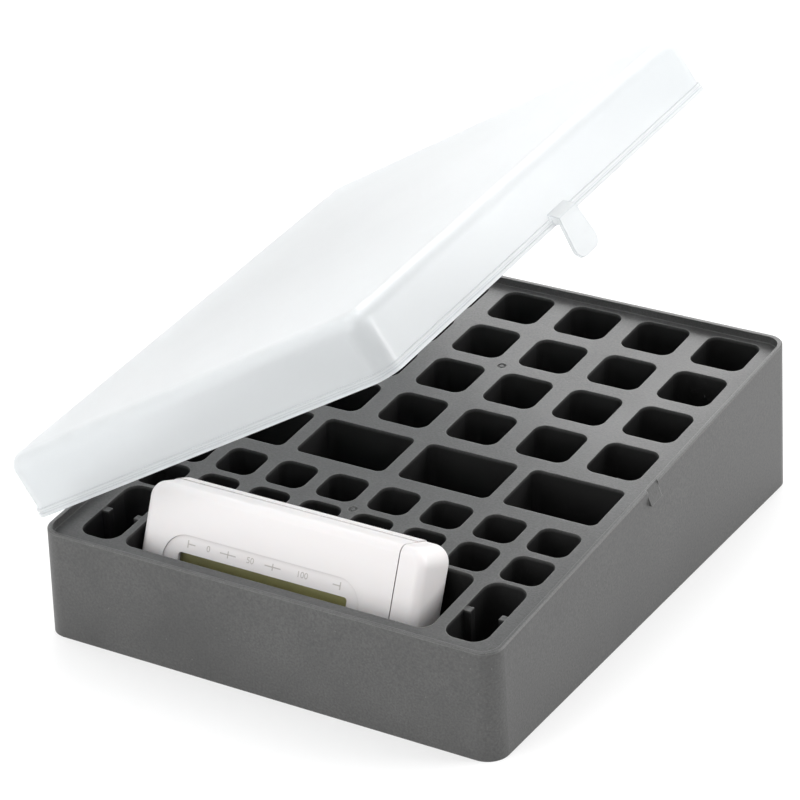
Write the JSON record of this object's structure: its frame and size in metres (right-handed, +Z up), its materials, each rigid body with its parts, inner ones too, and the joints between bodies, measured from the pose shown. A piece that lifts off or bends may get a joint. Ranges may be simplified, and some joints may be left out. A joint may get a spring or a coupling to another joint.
{
  "type": "battery organiser case",
  "caption": "Low desktop battery organiser: a grey base with an upright pocket for each cell, a hinged translucent lid that latches at the side, and a small pocket tester with a sliding jaw.",
  "frame": {"origin": "on the surface that the base stands on, under the middle of the base, at the end face of its centre rib", "axes": "+X to the right with the tester's row at the front, +Y to the rear, +Z up; the lid's hinge is on the left side"},
  "size_m": [0.1443, 0.1704, 0.1289],
  "materials": {
    "base_plastic": "fine texture",
    "lid_plastic": "frosted, translucent",
    "tester_plastic": "satin",
    "clear_pane": "polished",
    "display": "satin",
    "strip_rubber": "matte",
    "board_laminate": "solder resist",
    "black_resin": "gloss",
    "screw_steel": "zinc plated",
    "contact_brass": "bright",
    "contact_nickel": "nickel plated",
    "spring_steel": "bright wire",
    "bar_plastic": "satin"
  },
  "bodies": {
    "case": {"base": "base_plastic"},
    "lid": {"lid": "lid_plastic"},
    "tester": {"tester_front_shell": "tester_plastic", "tester_rear_shell": "tester_plastic", "tester_window": "clear_pane", "display_glass": "display", "connector_strip": "strip_rubber", "circuit_board": "board_laminate", "chip_blob": "black_resin", "board_resistors": "black_resin", "board_screws": "screw_steel", "shell_screws": "screw_steel", "fixed_contact": "contact_brass", "nine_volt_contacts": "contact_nickel", "contact_wiper": "contact_brass", "jaw_spring": "spring_steel"},
    "jaw": {"tester_jaw": "tester_plastic", "jaw_slide_bar": "bar_plastic", "jaw_contact": "contact_brass", "jaw_screw": "screw_steel"}
  },
  "joints": [
    {"name": "lid_hinge", "type": "hinge", "parent": "case", "child": "lid", "pos_m": [-0.07212, 0.00009, 0.03585], "axis": [0, -0.9968, -0.0799], "range_deg": [-31.7, 148.3]},
    {"name": "tester_lift", "type": "slide", "parent": "case", "child": "tester", "axis": [0, 0.3875, 0.9219], "range_m": [0, 0.0075]},
    {"name": "jaw_slide", "type": "slide", "parent": "tester", "child": "jaw", "axis": [1, 0, 0], "range_m": [0, 0.0073], "stiffness_N_per_m": 60, "springref_m": -0.005}
  ]
}
